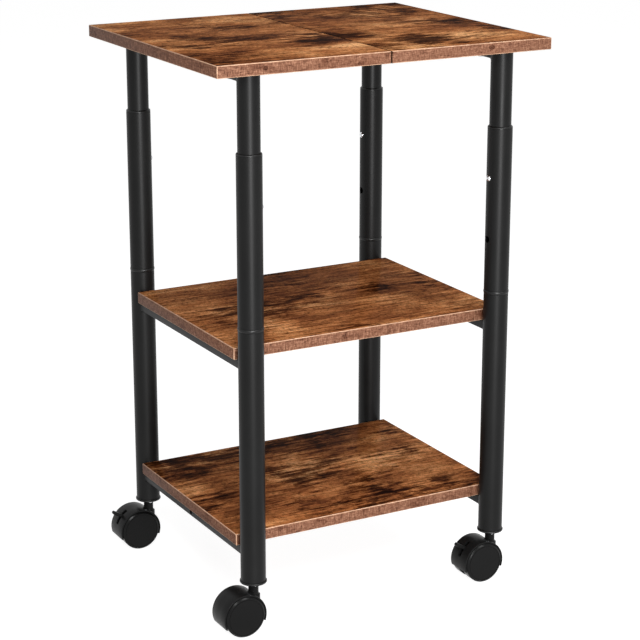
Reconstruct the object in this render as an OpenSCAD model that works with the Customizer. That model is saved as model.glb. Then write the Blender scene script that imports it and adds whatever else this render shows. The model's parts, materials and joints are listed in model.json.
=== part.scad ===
// Printer table on castors: a two-piece tabletop on telescoping legs, two shelves,
// and four twin-wheel castors, two of them with a brake.
// X runs left to right, Y front to back and Z up. The origin is on the floor, below the middle.

/* [Boards] */
// Length of the tabletop, left to right
top_length = 465; // [430:1:560]
// Depth of the tabletop, front to back
top_depth = 382; // [372:1:460]
// Height of the tabletop's upper face above the floor
top_height = 726; // [716:1:780]
// Gap at the seam between the two halves of the tabletop
seam_gap = 0.3; // [0:0.1:2]
// Thickness of the tabletop and of the shelves
board_thickness = 15; // [13:0.5:20]
// Rounding of the boards' edges
board_rounding = 0.8; // [0.3:0.1:2]
// Distance from the legs' centres to the shelves' left and right ends beyond them
shelf_overhang = 15; // [13:0.5:37]
// Space between a shelf's long edge and the legs beside it
shelf_clearance = 1; // [0.5:0.5:4]
// Height of the middle shelf's upper face above the floor
middle_shelf_height = 370; // [300:1:380]
// Height of the bottom shelf's upper face above the floor
bottom_shelf_height = 125; // [118:1:220]

/* [Legs] */
// Distance from the legs' centres to the tabletop's left and right ends beyond them
top_overhang_x = 54.5; // [47.5:0.5:72]
// Distance from the legs' centres to the tabletop's front and back edges beyond them
top_overhang_y = 29; // [26:0.5:51]
// Outside diameter of the outer leg tubes
outer_diameter = 32; // [31:0.5:36]
// Outside diameter of the inner leg tubes
inner_diameter = 28; // [24:0.5:28.5]
// Wall of every leg tube
tube_wall = 1.2; // [1:0.1:1.4]
// Height of the foot, the lower face of the plug in the leg's end
foot_height = 65; // [62:0.5:72]
// Height of the joint between the lower and the upper outer tube
coupler_height = 400; // [395:1:420]
// Height of the sleeve's top, where the inner tube comes out
sleeve_height = 615; // [600:1:640]
// Height of the snap buttons at rest
button_height = 548; // [543:1:560]
// Distance down to the next height's holes, which is the travel of the tabletop
hole_pitch = 80; // [50:1:80]

/* [Leg fittings] */
// Length of the coupler that goes into each tube
coupler_spigot = 30; // [20:1:32]
// Height of the ring that shows between the two tubes
coupler_ring = 4.5; // [3:0.5:8]
// Wall of the coupler
coupler_wall = 1.5; // [1:0.1:3]
// How far the ring and the foot plug stand out from the tube
ring_overhang = 0.5; // [0.2:0.1:1.5]
// Height of the collar at the sleeve's top
collar_height = 2.5; // [2:0.5:6]
// Length of the collar's bush inside the sleeve
bush_length = 25; // [15:1:40]
// Radial clearance between the bush and the inner tube that slides in it
sliding_clearance = 0.05; // [0.02:0.01:0.1]
// Height of the foot plug's flange
plug_flange = 3; // [2:0.5:6]
// How far the foot plug stands out from the tube
plug_overhang = 1.25; // [0.5:0.25:2]
// Length of the foot plug inside the tube
plug_length = 30; // [20:1:34]

/* [Crossbars] */
// Width of a crossbar, left to right
bar_width = 20; // [14:1:24]
// Height of a crossbar
bar_height = 12; // [10:1:20]
// Wall of a crossbar
bar_wall = 1.2; // [1:0.1:2]
// Size of the weld bead between a crossbar and a leg
weld_bead = 2; // [1:0.5:3]
// Diameter of the drain hole in the bottom left crossbar
drain_diameter = 7; // [4:0.5:8]

/* [Screws] */
// Diameter of the screws' shanks
screw_diameter = 4; // [3:0.5:4.5]
// Diameter of the screws' pan heads
head_diameter = 9.5; // [8:0.5:11]
// Height of the screws' pan heads
head_height = 3; // [2:0.5:4]
// How deep a screw goes into a board
screw_grip = 10; // [6:0.5:12]
// Width of the cross recess in a screw's head
recess_width = 1; // [0.6:0.1:1.4]
// Clearance round a screw in a crossbar or plate
screw_clearance = 0.3; // [0.1:0.1:0.5]
// Distance from a leg's centre to the nearest crossbar screw
screw_inset = 48; // [35:1:80]
// Length of a plate that joins the tabletop's halves
plate_length = 70; // [50:1:90]
// Width of a joining plate
plate_width = 20; // [14:1:30]
// Thickness of a joining plate
plate_thickness = 2; // [1.5:0.5:3]
// Rounding of a joining plate's corners
plate_rounding = 4; // [1:0.5:6]
// Distance from the middle to each joining plate
plate_offset = 110; // [60:1:150]

/* [Snap buttons] */
// Diameter of a snap button
button_diameter = 8; // [6:0.5:9]
// How far a button's dome stands out from the sleeve
button_rise = 2.6; // [1.5:0.1:4]
// Radial clearance of a button in its hole in the inner tube
button_clearance = 0.08; // [0.04:0.02:0.1]
// Radial clearance of a button in the sleeve's holes
sleeve_hole_clearance = 0.5; // [0.3:0.1:0.8]
// Thickness of the spring strip behind a button
strip_thickness = 0.8; // [0.5:0.1:1]
// Width of the spring strip
strip_width = 8; // [5:0.5:9]
// Length of the spring strip's straight legs
strip_length = 22; // [18:1:24]
// Width and thickness of the flange that keeps a button in the tube
button_flange = [1, 0.7];

/* [Castors] */
// Diameter of a wheel
wheel_diameter = 54; // [48:1:56]
// Rounding of a wheel's tread edges
tread_rounding = 1.5; // [0.5:0.1:2]
// Bevel round a wheel's outer face: its width and its depth
disc_bevel = [3, 0.8];
// Groove inside that bevel: its width and its depth
disc_groove = [0.7, 0.4];
// Width of one wheel of a pair
wheel_width = 14.5; // [12:0.5:18]
// Gap between the two wheels of a pair
wheel_gap = 10; // [10:0.5:14]
// How far the axle trails behind the stem
castor_trail = 20; // [17:0.5:22]
// Thickness of the hood over the wheels
hood_thickness = 2; // [1.5:0.1:3]
// Radial gap between the wheels and the hood
hood_clearance = 0.5; // [0.4:0.1:1.5]
// Width of the hood
hood_width = 36; // [30:1:40]
// Angle at which the hood ends below the stem, from the horizontal
hood_front_angle = -20; // [-30:1:0]
// Angle at which the hood ends on the trailing side
hood_back_angle = 206; // [195:1:215]
// The same angle of a braked castor's hood, which is shorter and shows more of the tread
braked_hood_angle = 198; // [190:1:215]
// Rounding along the hood's edges
hood_rounding = 1.2; // [0.4:0.1:1.4]
// Thickness of the web between the wheels
web_thickness = 9; // [9:0.5:9.5]
// Diameter of the neck round the stem
neck_diameter = 13; // [12:0.5:16]
// Height of the neck's top above the floor
neck_height = 60; // [59:0.5:64]
// Diameter of the stem
stem_diameter = 8; // [6:0.5:9]
// Diameter of the collar between the neck and the leg
stem_collar = 13; // [9.5:0.5:16]
// Length of the stem inside the leg
stem_length = 30; // [20:1:33]
// Radial clearance of the stem in its socket
stem_clearance = 0.05; // [0.02:0.01:0.1]
// Diameter of the axle
axle_diameter = 6; // [4:0.5:8]
// Radial clearance of a wheel on the axle
axle_clearance = 0.05; // [0.02:0.01:0.1]
// Length of the axle inside each wheel
axle_reach = 11.5; // [8:0.5:11.5]
// Diameter of a wheel's hub
hub_diameter = 16; // [12:0.5:20]
// Thickness of a wheel's rim
rim_thickness = 3.5; // [2.5:0.5:5]
// Thickness of a wheel's outer face
face_thickness = 3; // [2.5:0.5:5]

/* [Brake] */
// Width of the brake lever
lever_width = 6; // [4:0.5:6.5]
// Thickness of the lever's paddle
lever_thickness = 4.5; // [3:0.5:5.5]
// Length of the paddle beyond the hood
lever_length = 14.5; // [10:0.5:14.5]
// Angle of the paddle, from the horizontal
lever_angle = 150; // [140:1:160]
// Angle of the point where the paddle leaves the hood, seen from the axle
lever_root_angle = 137; // [132:1:142]
// Distance from the hood's surface in to the lever's pivot
lever_pivot_depth = 10.6; // [9:0.2:12]
// Diameter of the lever's pivot pin
pivot_diameter = 3; // [2.5:0.5:3.5]
// Radial clearance of the lever on its pivot pin
pivot_clearance = 0.05; // [0.02:0.01:0.1]
// Distance from the pivot to the bar that jams the wheels
brake_bar_offset = 6; // [5:0.5:6.5]
// Diameter of that bar
brake_bar_diameter = 2.4; // [2:0.2:3]
// How far that bar reaches into each wheel
brake_bar_reach = 2; // [1:0.5:3]
// Wall of the lever's eye round the pivot pin
lever_eye_wall = 2; // [1.5:0.1:2]
// Travel of the lever, in degrees
lever_travel = 15; // [8:1:15]

/* [Hidden] */
$fn = 64;
margin = 1; // how far a cut runs past the face that it opens
joint_gap = 0.3; // clearance between parts that move past each other

// The legs stand under the tabletop's corners, and the shelves and crossbars follow them.
leg_x = top_length / 2 - top_overhang_x;
leg_y = top_depth / 2 - top_overhang_y;
sleeve_bore = outer_diameter - 2 * tube_wall;
inner_bore = inner_diameter - 2 * tube_wall;
top_underside = top_height - board_thickness;
shelf_length = 2 * (leg_x + shelf_overhang);
shelf_depth = 2 * (leg_y - shelf_clearance) - outer_diameter;
// The inner tube stops clear of the coupler's spigot when the tabletop is down.
inner_leg_play = 5;
inner_leg_bottom = coupler_height + coupler_spigot + hole_pitch + inner_leg_play;

wheel_radius = wheel_diameter / 2;
hood_inner = wheel_radius + hood_clearance;
hood_radius = hood_inner + hood_thickness;
neck_top = neck_height - wheel_radius;
// The stem's hole stops above the space that the wheels turn in.
stem_hole_floor = 2;
stem_hole_bottom = sqrt(max(hood_inner ^ 2 - castor_trail ^ 2, 0)) + stem_hole_floor;
stem_bottom = stem_hole_bottom + wheel_radius;
hub_bore_depth = axle_reach + joint_gap / 2;

// The lever's pivot lies inside the hood, in line with the paddle.
lever_root = hood_radius * [cos(lever_root_angle), sin(lever_root_angle)];
pivot = lever_root - lever_pivot_depth * [cos(lever_angle), sin(lever_angle)];
pivot_angle = atan2(pivot.y, pivot.x);
lever_play = 0.2;
lever_slot = lever_width + 2 * lever_play;
slot_below = 20; // degrees of the slot ahead of the lever's root
slot_above = 26; // and behind it, where the lever goes when it is pressed

CORNERS = [["front_left", -1, -1], ["front_right", 1, -1], ["back_left", -1, 1], ["back_right", 1, 1]];
SIDES = [["left", -1], ["right", 1]];
WHEELS = [["near", -1], ["far", 1]];
BRAKED = ["front_right", "back_left"];

function is_braked(corner) = len([for (name = BRAKED) if (name == corner[0]) name]) > 0;
function of_corners(word) = [for (corner = CORNERS) str(word, "_", corner[0])];
function of_sides(word) = [for (side = SIDES) str(word, "_", side[0])];

BLACK_PAINT = "#232323";
BLACK_PLASTIC = "#1a1a1a";
STEEL = "#b9bcc0";
WOOD = "#8c5a35";

// Places a piece on a leg's centre line.
module at_leg(corner) {
    translate([corner[1] * leg_x, corner[2] * leg_y, 0]) children();
}

// Turns a piece so that its +X side faces the middle of the table.
module facing_inwards(corner) {
    rotate([0, 0, corner[1] > 0 ? 180 : 0]) children();
}

// Places a piece at the centre of a castor's axle.
module at_axle(corner) {
    at_leg(corner) translate([-castor_trail, 0, wheel_radius]) children();
}

// Extrudes an outline that is drawn in X and Z, to both sides of the middle plane.
module along_y(width) {
    rotate([90, 0, 0]) linear_extrude(width, center = true) children();
}

module pipe(diameter, bore, height) {
    difference() {
        cylinder(d = diameter, h = height);
        translate([0, 0, -margin]) cylinder(d = bore, h = height + 2 * margin);
    }
}

module rounded_rectangle(width, height, radius) {
    square([width - 2 * radius, height], center = true);
    square([width, height - 2 * radius], center = true);
    for (x = [-1, 1], y = [-1, 1])
        translate([x * (width / 2 - radius), y * (height / 2 - radius)]) circle(radius);
}

// A board with all its edges rounded, its upper face at Z = 0.
module board(length, depth) {
    translate([0, 0, -board_thickness / 2]) intersection() {
        linear_extrude(board_thickness, center = true)
            rounded_rectangle(length, depth, board_rounding);
        along_y(depth)
            rounded_rectangle(length, board_thickness, board_rounding);
        rotate([90, 0, 90]) linear_extrude(length, center = true)
            rounded_rectangle(depth, board_thickness, board_rounding);
    }
}

// Places a piece below each crossbar screw: the bars' screws lie in line with the legs.
module at_bar_screws(sides) {
    for (side = sides, end = [-1, 1])
        translate([side * leg_x, end * (leg_y - screw_inset), 0]) children();
}

// Places a piece below each screw of the joining plates.
module at_plate_screws(sides) {
    for (end = [-1, 1], side = sides, step = [0.18, 0.38])
        translate([side * plate_length * step, end * plate_offset, 0]) children();
}

// A pan-head screw that points up, its head's upper face at Z = 0.
module screw(length) {
    corner = head_height / 2;
    difference() {
        union() {
            cylinder(d = screw_diameter, h = length);
            mirror([0, 0, 1]) rotate_extrude() {
                square([head_diameter / 2 - corner, head_height]);
                square([head_diameter / 2, head_height - corner]);
                translate([head_diameter / 2 - corner, head_height - corner]) intersection() {
                    circle(corner);
                    square(corner);
                }
            }
        }
        for (turn = [0, 90]) rotate([0, 0, turn]) translate([0, 0, -head_height])
            cube([head_diameter / 2, recess_width, head_height], center = true);
    }
}

module screw_hole(depth) {
    translate([0, 0, -margin]) cylinder(d = screw_diameter, h = depth + margin);
}

// One half of the tabletop, with the holes of its crossbar and joining plates.
module tabletop(side) {
    half_length = (top_length - seam_gap) / 2;
    color(WOOD) difference() {
        translate([side * (half_length + seam_gap) / 2, 0, top_height]) board(half_length, top_depth);
        translate([0, 0, top_underside]) {
            at_bar_screws([side]) screw_hole(screw_grip);
            at_plate_screws([side]) screw_hole(screw_grip);
        }
    }
}

module shelf(height) {
    color(WOOD) difference() {
        translate([0, 0, height]) board(shelf_length, shelf_depth);
        translate([0, 0, height - board_thickness]) at_bar_screws([-1, 1]) screw_hole(screw_grip);
    }
}

// Flat steel plates under the tabletop, across its seam.
module joining_plates() {
    color(STEEL) difference() {
        for (end = [-1, 1])
            translate([0, end * plate_offset, top_underside - plate_thickness])
                linear_extrude(plate_thickness) rounded_rectangle(plate_length, plate_width, plate_rounding);
        translate([0, 0, top_underside - plate_thickness - margin]) at_plate_screws([-1, 1])
            cylinder(d = screw_diameter + 2 * screw_clearance, h = plate_thickness + 2 * margin);
    }
}

module plate_screws() {
    color(STEEL) translate([0, 0, top_underside - plate_thickness]) at_plate_screws([-1, 1])
        screw(plate_thickness + screw_grip);
}

// The screws that go up through the crossbars below a board.
module bar_screws(board_underside) {
    color(STEEL) translate([0, 0, board_underside - bar_height]) at_bar_screws([-1, 1])
        screw(bar_height + screw_grip);
}

module tabletop_screws() {
    bar_screws(top_underside);
}

module shelf_screws() {
    bar_screws(middle_shelf_height - board_thickness);
    bar_screws(bottom_shelf_height - board_thickness);
}

// A rectangular tube between a front and a back leg, coped to them and welded.
module crossbar(side, board_underside, leg_diameter, drain = false) {
    bottom = board_underside - bar_height;
    color(BLACK_PAINT) difference() {
        union() {
            translate([side * leg_x - bar_width / 2, -leg_y, bottom])
                cube([bar_width, 2 * leg_y, bar_height]);
            for (end = [-1, 1]) translate([side * leg_x, end * leg_y, bottom - weld_bead]) intersection() {
                cylinder(d = leg_diameter + 2 * weld_bead, h = bar_height + weld_bead);
                translate([-bar_width / 2 - weld_bead, end > 0 ? -leg_diameter : 0, 0])
                    cube([bar_width + 2 * weld_bead, leg_diameter, bar_height + weld_bead]);
            }
        }
        translate([side * leg_x - bar_width / 2 + bar_wall, -leg_y, bottom + bar_wall])
            cube([bar_width - 2 * bar_wall, 2 * leg_y, bar_height - 2 * bar_wall]);
        for (end = [-1, 1]) translate([side * leg_x, end * leg_y, bottom - weld_bead - margin])
            cylinder(d = leg_diameter, h = bar_height + weld_bead + 2 * margin);
        translate([0, 0, bottom - margin]) at_bar_screws([side])
            cylinder(d = screw_diameter + 2 * screw_clearance, h = bar_height + 2 * margin);
        if (drain)
            translate([side * (leg_x + bar_width / 2 + margin), 0, bottom + bar_height / 2])
                rotate([0, -side * 90, 0]) cylinder(d = drain_diameter, h = bar_wall + 2 * margin);
    }
}

module top_crossbar(side) {
    crossbar(side, top_underside, inner_diameter);
}

module middle_crossbar(side) {
    crossbar(side, middle_shelf_height - board_thickness, outer_diameter);
}

module bottom_crossbar(side) {
    crossbar(side, bottom_shelf_height - board_thickness, outer_diameter, drain = side < 0);
}

module lower_leg(corner) {
    bottom = foot_height + plug_flange;
    color(BLACK_PAINT) at_leg(corner) translate([0, 0, bottom])
        pipe(outer_diameter, sleeve_bore, coupler_height - coupler_ring - bottom);
}

// A round hole in the side of a tube that faces the middle of the table.
module side_hole(diameter) {
    rotate([0, 90, 0]) cylinder(d = diameter, h = outer_diameter);
}

// The sleeve that the inner tube slides in, with a hole at each height setting.
module upper_leg(corner) {
    hole_diameter = button_diameter + 2 * sleeve_hole_clearance;
    color(BLACK_PAINT) at_leg(corner) difference() {
        translate([0, 0, coupler_height])
            pipe(outer_diameter, sleeve_bore, sleeve_height - collar_height - coupler_height);
        facing_inwards(corner) for (drop = [0, hole_pitch])
            translate([0, 0, button_height - drop]) side_hole(hole_diameter);
    }
}

// The inner tube, from the tabletop's underside down into the sleeve.
module inner_leg(corner) {
    color(BLACK_PAINT) at_leg(corner) difference() {
        translate([0, 0, inner_leg_bottom])
            pipe(inner_diameter, inner_bore, top_underside - inner_leg_bottom);
        facing_inwards(corner) translate([0, 0, button_height])
            side_hole(button_diameter + 2 * button_clearance);
    }
}

// A ring with round edges, and a spigot into the tubes above and below it.
module leg_couplers() {
    radius = outer_diameter / 2 + ring_overhang;
    color(BLACK_PLASTIC) for (corner = CORNERS)
        at_leg(corner) translate([0, 0, coupler_height - coupler_ring]) difference() {
            union() {
                rotate_extrude() translate([radius / 2, coupler_ring / 2])
                    rounded_rectangle(radius, coupler_ring, 2 * ring_overhang);
                translate([0, 0, -coupler_spigot])
                    cylinder(d = sleeve_bore, h = coupler_ring + 2 * coupler_spigot);
            }
            translate([0, 0, -coupler_spigot - margin])
                cylinder(d = sleeve_bore - 2 * coupler_wall,
                    h = coupler_ring + 2 * coupler_spigot + 2 * margin);
        }
}

// The collar and bush in a sleeve's top, which the inner tube slides through.
module leg_bushes() {
    radius = outer_diameter / 2;
    rounding = collar_height * 0.75;
    color(BLACK_PLASTIC) for (corner = CORNERS)
        at_leg(corner) translate([0, 0, sleeve_height - collar_height]) difference() {
            union() {
                rotate_extrude() {
                    square([radius, collar_height - rounding]);
                    square([radius - rounding, collar_height]);
                    translate([radius - rounding, collar_height - rounding]) intersection() {
                        circle(rounding);
                        square(rounding);
                    }
                }
                translate([0, 0, -bush_length]) cylinder(d = sleeve_bore, h = bush_length);
            }
            translate([0, 0, -bush_length - margin])
                cylinder(d = inner_diameter + 2 * sliding_clearance,
                    h = collar_height + bush_length + 2 * margin);
        }
}

// The plug in a leg's lower end, with the bore for a castor's stem.
module castor_sockets() {
    radius = outer_diameter / 2 + plug_overhang;
    color(BLACK_PLASTIC) for (corner = CORNERS)
        at_leg(corner) translate([0, 0, foot_height]) difference() {
            union() {
                rotate_extrude() translate([radius / 2, plug_flange / 2])
                    rounded_rectangle(radius, plug_flange, plug_overhang);
                cylinder(d = sleeve_bore, h = plug_flange + plug_length);
            }
            translate([0, 0, -margin])
                cylinder(d = stem_diameter + 2 * stem_clearance, h = plug_flange + plug_length + 2 * margin);
        }
}

// The strip's outer faces, behind the button and on the tube's other side: the button's flange and
// the strip's edges stop just short of the tube's round wall. Both are cut to a whole tenth, so that
// what is drawn up to them from either side ends at the same number.
strip_play = 0.15;
flange_reach = sqrt((inner_bore / 2) ^ 2 - (button_diameter / 2 + button_flange.x) ^ 2);
edge_reach = sqrt((inner_bore / 2) ^ 2 - (strip_width / 2) ^ 2);
strip_face = floor(10 * (flange_reach - button_clearance - button_flange.y)) / 10;
strip_back = floor(10 * (edge_reach - strip_play)) / 10;

// A steel strip bent to a U, which pushes its button out through the tube's wall.
module snap_spring(corner) {
    radius = (strip_face + strip_back) / 2;
    color(STEEL) at_leg(corner) facing_inwards(corner)
        translate([(strip_face - strip_back) / 2, 0, button_height + button_diameter - strip_length])
            along_y(strip_width) difference() {
                union() {
                    circle(radius);
                    translate([-radius, 0]) square([2 * radius, strip_length]);
                }
                circle(radius - strip_thickness);
                translate([strip_thickness - radius, 0])
                    square([2 * (radius - strip_thickness), strip_length + margin]);
            }
}

// The domed button, with a flange that keeps it in the tube.
module snap_button(corner) {
    radius = button_diameter / 2;
    face = outer_diameter / 2;
    dome = (radius ^ 2 + button_rise ^ 2) / (2 * button_rise);
    color(STEEL) at_leg(corner) facing_inwards(corner) translate([0, 0, button_height])
        rotate([0, 90, 0]) {
            translate([0, 0, strip_face]) {
                cylinder(r = radius, h = face - strip_face);
                cylinder(r = radius + button_flange.x, h = button_flange.y);
            }
            intersection() {
                translate([0, 0, face + button_rise - dome]) sphere(dome);
                translate([0, 0, face]) cylinder(r = radius, h = button_rise + margin);
            }
        }
}

// The part of a disc between two angles.
module sector(radius, from, to) {
    step = (to - from) / 6;
    intersection() {
        circle(radius);
        polygon([[0, 0], for (i = [0:6]) 2 * radius * [cos(from + i * step), sin(from + i * step)]]);
    }
}

// The hood's shell: a band over the wheels, with round edges.
module hood(back_angle) {
    intersection() {
        rotate([90, 0, 0]) rotate_extrude() translate([hood_radius - hood_thickness, 0]) {
            translate([0, -hood_width / 2]) square([hood_thickness - hood_rounding, hood_width]);
            translate([0, -hood_width / 2 + hood_rounding])
                square([hood_thickness, hood_width - 2 * hood_rounding]);
            for (end = [-1, 1])
                translate([hood_thickness - hood_rounding, end * (hood_width / 2 - hood_rounding)])
                intersection() {
                    circle(hood_rounding);
                    translate([0, end > 0 ? 0 : -hood_rounding]) square(hood_rounding);
                }
        }
        along_y(hood_width + margin) sector(hood_radius + margin, hood_front_angle, back_angle);
    }
}

// Where the brake's jamming bar is, with the lever pressed down by an angle.
function brake_bar(press) =
    pivot + brake_bar_offset * [cos(pivot_angle - 90 + press), sin(pivot_angle - 90 + press)];

// The opening that the brake lever moves in, through the hood and into the web.
module lever_opening() {
    reach = brake_bar_offset + brake_bar_diameter + joint_gap;
    along_y(lever_slot) {
        translate(pivot) circle(reach);
        difference() {
            sector(hood_radius + margin, lever_root_angle - slot_below, lever_root_angle + slot_above);
            circle(norm(pivot) - reach / 2);
        }
    }
    along_y(web_thickness + margin) translate(brake_bar(lever_travel / 2))
        circle(brake_bar_diameter / 2 + brake_bar_offset * sin(lever_travel / 2) + joint_gap);
}

// The castor's moulded body: the hood, the web between the wheels, and the neck round the stem.
module castor_housing(corner) {
    flare = 2;
    back_angle = is_braked(corner) ? braked_hood_angle : hood_back_angle;
    color(BLACK_PLASTIC) at_axle(corner) {
        difference() {
            union() {
                hood(back_angle);
                along_y(web_thickness) {
                    sector(hood_radius - hood_thickness / 2, hood_front_angle, back_angle);
                    circle(hub_diameter / 2);
                }
                difference() {
                    translate([castor_trail, 0, 0]) {
                        cylinder(d = neck_diameter, h = neck_top);
                        cylinder(d = neck_diameter + 2 * flare, h = stem_hole_bottom);
                        translate([0, 0, stem_hole_bottom])
                            cylinder(d1 = neck_diameter + 2 * flare, d2 = neck_diameter, h = 2 * flare);
                    }
                    for (side = [0, 1]) mirror([0, side, 0]) translate([0, web_thickness / 2, 0])
                        rotate([-90, 0, 0]) cylinder(r = hood_inner, h = hood_width);
                    translate([0, 0, -hood_radius])
                        cube([4 * hood_radius, hood_width, 2 * hood_radius], center = true);
                }
            }
            translate([castor_trail, 0, stem_hole_bottom]) cylinder(d = stem_diameter, h = neck_top);
            along_y(web_thickness + margin) circle(axle_diameter / 2);
            if (is_braked(corner)) lever_opening();
        }
        if (is_braked(corner)) along_y(web_thickness) translate(pivot) circle(pivot_diameter / 2);
    }
}

// The steel stem, with the collar that the leg stands on and a chamfered tip.
module castor_stem(corner) {
    chamfer = 1;
    length = foot_height + stem_length - stem_bottom;
    color(STEEL) at_leg(corner) {
        translate([0, 0, stem_bottom]) cylinder(d = stem_diameter, h = length - chamfer);
        translate([0, 0, stem_bottom + length - chamfer])
            cylinder(d1 = stem_diameter, d2 = stem_diameter - 2 * chamfer, h = chamfer);
        translate([0, 0, neck_height]) cylinder(d = stem_collar, h = foot_height - neck_height);
    }
}

module castor_axle(corner) {
    color(STEEL) at_axle(corner) along_y(wheel_gap + 2 * axle_reach) circle(axle_diameter / 2);
}

// Half the outline of a wheel: radius along X, and Y from its inner face to its outer face.
module wheel_outline() {
    rim_inner = wheel_radius - rim_thickness;
    face_edge = wheel_radius - tread_rounding;
    difference() {
        union() {
            square([face_edge, wheel_width - disc_bevel.y]);
            translate([0, tread_rounding])
                square([wheel_radius, wheel_width - disc_bevel.y - 2 * tread_rounding]);
            for (y = [tread_rounding, wheel_width - disc_bevel.y - tread_rounding])
                translate([face_edge, y]) circle(tread_rounding);
            polygon([[0, wheel_width - disc_bevel.y], [face_edge, wheel_width - disc_bevel.y],
                [face_edge - disc_bevel.x, wheel_width], [0, wheel_width]]);
        }
        translate([hub_diameter / 2, -margin])
            square([rim_inner - hub_diameter / 2, wheel_width - face_thickness + margin]);
        translate([face_edge - disc_bevel.x - 2 * disc_groove.x, wheel_width - disc_groove.y])
            square([disc_groove.x, disc_groove.y + margin]);
        translate([0, -margin]) square([axle_diameter / 2 + axle_clearance, hub_bore_depth + margin]);
    }
}

// One wheel of a pair: a closed face outside, and a hub and rim open to the web.
module castor_wheel(corner, end) {
    color(BLACK_PLASTIC) at_axle(corner) translate([0, end * wheel_gap / 2, 0])
        rotate([end > 0 ? -90 : 90, 0, 0]) rotate_extrude() wheel_outline();
}

// The brake lever: a paddle, an eye on the pivot pin, and a nose with the bar that jams the wheels.
module brake_lever(corner) {
    bar = brake_bar(0);
    eye = pivot_diameter / 2 + lever_eye_wall;
    reach = lever_pivot_depth + lever_length - lever_thickness / 2;
    color(BLACK_PLASTIC) at_axle(corner) {
        difference() {
            along_y(lever_width) {
                translate(pivot) {
                    circle(eye);
                    rotate(lever_angle) {
                        translate([0, -lever_thickness / 2]) square([reach, lever_thickness]);
                        translate([reach, 0]) circle(lever_thickness / 2);
                    }
                    rotate(pivot_angle - 90) translate([0, -brake_bar_diameter / 2])
                        square([brake_bar_offset, brake_bar_diameter]);
                }
            }
            along_y(lever_width + margin) translate(pivot) circle(pivot_diameter / 2 + pivot_clearance);
        }
        along_y(wheel_gap + 2 * brake_bar_reach) translate(bar) circle(brake_bar_diameter / 2);
    }
}

for (side = SIDES) {
    tabletop(side[1]);
    top_crossbar(side[1]);
    middle_crossbar(side[1]);
    bottom_crossbar(side[1]);
}
joining_plates();
plate_screws();
tabletop_screws();
shelf(middle_shelf_height);  // middle_shelf
shelf(bottom_shelf_height);  // bottom_shelf
shelf_screws();
leg_bushes();
leg_couplers();
castor_sockets();
for (corner = CORNERS) {
    inner_leg(corner);
    snap_spring(corner);
    snap_button(corner);
    upper_leg(corner);
    lower_leg(corner);
    castor_housing(corner);
    castor_stem(corner);
    castor_axle(corner);
    for (wheel = WHEELS)
        castor_wheel(corner, wheel[1]);
    if (is_braked(corner))
        brake_lever(corner);
}
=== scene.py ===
# %% [markdown]
# A printer table on castors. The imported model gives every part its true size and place, and this
# lesson gives each part the shape and finish that the eye sees. Everything is in metres: X runs
# left to right, Y from the front to the back, and Z up from the floor.

import json
from math import atan2, copysign, cos, degrees, pi, radians, sin

import bpy
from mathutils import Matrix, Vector


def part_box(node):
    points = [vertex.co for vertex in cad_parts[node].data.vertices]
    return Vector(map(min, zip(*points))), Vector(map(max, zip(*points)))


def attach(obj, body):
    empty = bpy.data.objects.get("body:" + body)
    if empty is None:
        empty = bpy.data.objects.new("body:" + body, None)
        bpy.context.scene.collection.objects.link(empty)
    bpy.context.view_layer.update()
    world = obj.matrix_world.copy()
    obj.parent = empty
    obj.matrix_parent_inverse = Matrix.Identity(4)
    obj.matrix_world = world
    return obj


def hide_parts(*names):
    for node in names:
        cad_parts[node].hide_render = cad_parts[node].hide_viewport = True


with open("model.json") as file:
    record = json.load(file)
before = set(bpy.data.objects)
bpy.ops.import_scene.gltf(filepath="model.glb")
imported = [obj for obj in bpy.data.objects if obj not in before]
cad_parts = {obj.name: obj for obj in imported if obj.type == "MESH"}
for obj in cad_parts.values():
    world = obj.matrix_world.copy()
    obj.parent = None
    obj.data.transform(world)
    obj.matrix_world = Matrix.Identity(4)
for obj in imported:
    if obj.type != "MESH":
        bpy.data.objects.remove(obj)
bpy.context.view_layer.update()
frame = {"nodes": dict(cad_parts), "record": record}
nodes = frame["nodes"]

# %% [markdown]
# The camera stands to the left of the front, a little above the table, where a fit to the board
# corners and legs of the photograph puts it. A shifted lens would keep the legs a little more
# parallel, but it would push the table out of the frame as soon as the camera goes round.

# %% Camera
AZIMUTH, ELEVATION, TILT = radians(-28.75), radians(15.58), radians(16.46)
DISTANCE, LENS = 2.646, 112.3
AIM_ASIDE, AIM_HEIGHT = 0.0059, 0.3836


def towards(azimuth, elevation):
    """The direction from the table to a place around it; azimuth 0 is the front, 90 the right."""
    return Vector((sin(azimuth) * cos(elevation), -cos(azimuth) * cos(elevation), sin(elevation)))


to_right = Vector((cos(AZIMUTH), sin(AZIMUTH), 0))
aim = to_right * AIM_ASIDE + Vector((0, 0, AIM_HEIGHT))
bpy.ops.object.camera_add(location=aim + towards(AZIMUTH, ELEVATION) * DISTANCE)
camera = bpy.context.object
camera.name = "camera"
camera.rotation_mode = "QUATERNION"
camera.rotation_quaternion = (-towards(AZIMUTH, TILT)).to_track_quat("-Z", "Y")
camera.data.lens = LENS
camera.data.sensor_width = 36
bpy.context.scene.camera = camera
bpy.context.scene.view_settings.view_transform = "Standard"
print("camera", [round(v, 3) for v in camera.location])

# %% [markdown]
# A material is a small tree of nodes. The first three helpers add a node with its settings, join an
# output to an input, and start a material with one Principled shader whose plain numbers stand on
# its own sockets. The others add what the finishes share: ramps, blends, noises and relief.


# %% Node helpers
def add(tree, kind, settings=None, **inputs):
    """A new node; settings are its properties, inputs its values or sockets, by name or _number."""
    node = tree.nodes.new(kind)
    for name, value in (settings or {}).items():
        setattr(node, name, value)
    for name, value in inputs.items():
        feed(tree, node.inputs[int(name[1:]) if name[0] == "_" else name.replace("_", " ")], value)
    return node


def feed(tree, socket, value):
    """Joins a socket to another node's output, or sets its own value."""
    if isinstance(value, bpy.types.NodeSocket):
        tree.links.new(value, socket)
    else:
        socket.default_value = value


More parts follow.
